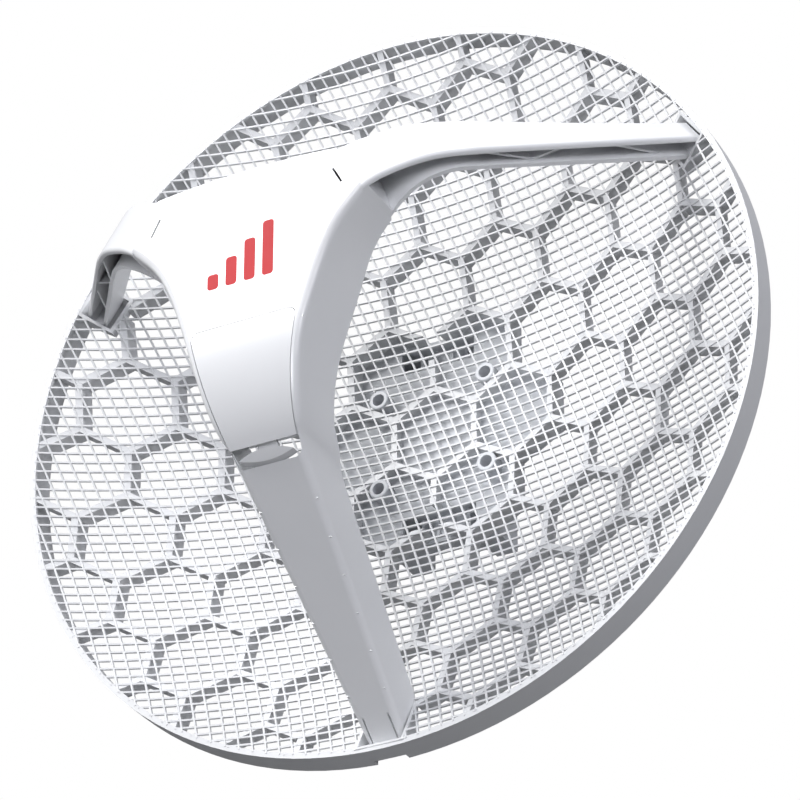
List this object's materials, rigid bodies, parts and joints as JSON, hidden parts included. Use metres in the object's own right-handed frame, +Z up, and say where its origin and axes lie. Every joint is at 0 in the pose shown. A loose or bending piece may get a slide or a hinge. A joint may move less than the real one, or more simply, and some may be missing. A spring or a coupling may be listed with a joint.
{
  "type": "parabolic grid antenna",
  "caption": "Round parabolic grid reflector with a honeycomb-ribbed wire dish, hub and mast cradle, carrying a feed head on three arms with a hinged front door.",
  "frame": {"origin": "on the axis of the mast tube, level with the axis of the dish", "axes": "+Z up along the mast, -Y towards where the dish looks, +X to the right seen from the front"},
  "size_m": [0.391, 0.2221, 0.391],
  "materials": {
    "grid_plastic": "semi-gloss moulded plastic",
    "hub_plastic": "semi-gloss moulded plastic",
    "feed_plastic": "glossy moulded plastic",
    "signal_ink": "printed ink",
    "circuit_board": "solder mask over glass laminate",
    "steel_screw": "zinc plated",
    "tinned_sheet": "tinned sheet",
    "nylon": "natural nylon",
    "chip_epoxy": "moulded epoxy",
    "thermal_silicone": "soft silicone pad",
    "jack_shell": "tinned shell",
    "gold_contact": "gold flashed",
    "ferrite": "sintered ferrite",
    "capacitor_can": "bare can",
    "led_lens": "clear lens",
    "clear_guide": "clear acrylic",
    "button_plastic": "moulded button"
  },
  "bodies": {
    "reflector": {"reflector_rim": "grid_plastic", "honeycomb_ribs": "grid_plastic", "grid_horizontal_wires": "grid_plastic", "grid_slanted_wires": "grid_plastic", "hub_plate": "hub_plastic", "mast_cradle": "hub_plastic", "arm_sockets": "grid_plastic", "feed_housing": "feed_plastic", "feed_back_cover": "feed_plastic", "right_support_arm": "feed_plastic", "left_support_arm": "feed_plastic", "signal_mark": "signal_ink", "main_pcb": "circuit_board", "pcb_screws": "steel_screw", "driven_patch": "tinned_sheet", "director_patch": "tinned_sheet", "patch_standoffs": "nylon", "rf_shield": "tinned_sheet", "processor": "chip_epoxy", "memory_chip": "chip_epoxy", "thermal_pad": "thermal_silicone", "ethernet_jack": "jack_shell", "jack_contacts": "gold_contact", "lan_transformer": "chip_epoxy", "power_inductor": "ferrite", "capacitors": "capacitor_can", "status_leds": "led_lens", "light_guide": "clear_guide", "reset_switch": "chip_epoxy"},
    "door": {"access_door": "feed_plastic"},
    "latch": {"door_latch": "feed_plastic"},
    "button": {"reset_button": "button_plastic"}
  },
  "joints": [
    {"name": "door_hinge", "type": "hinge", "parent": "reflector", "child": "door", "pos_m": [0, -0.2192, -0.0432], "axis": [-1, 0, 0], "range_deg": [0, 55]},
    {"name": "latch_flex", "type": "hinge", "parent": "door", "child": "latch", "pos_m": [0, -0.20424, -0.08096], "axis": [1, 0, 0], "range_deg": [0, 4], "stiffness_Nm_per_rad": 0.05},
    {"name": "reset_press", "type": "slide", "parent": "reflector", "child": "button", "axis": [0, 1, 0], "range_m": [0, 0.0003], "stiffness_N_per_m": 400}
  ]
}
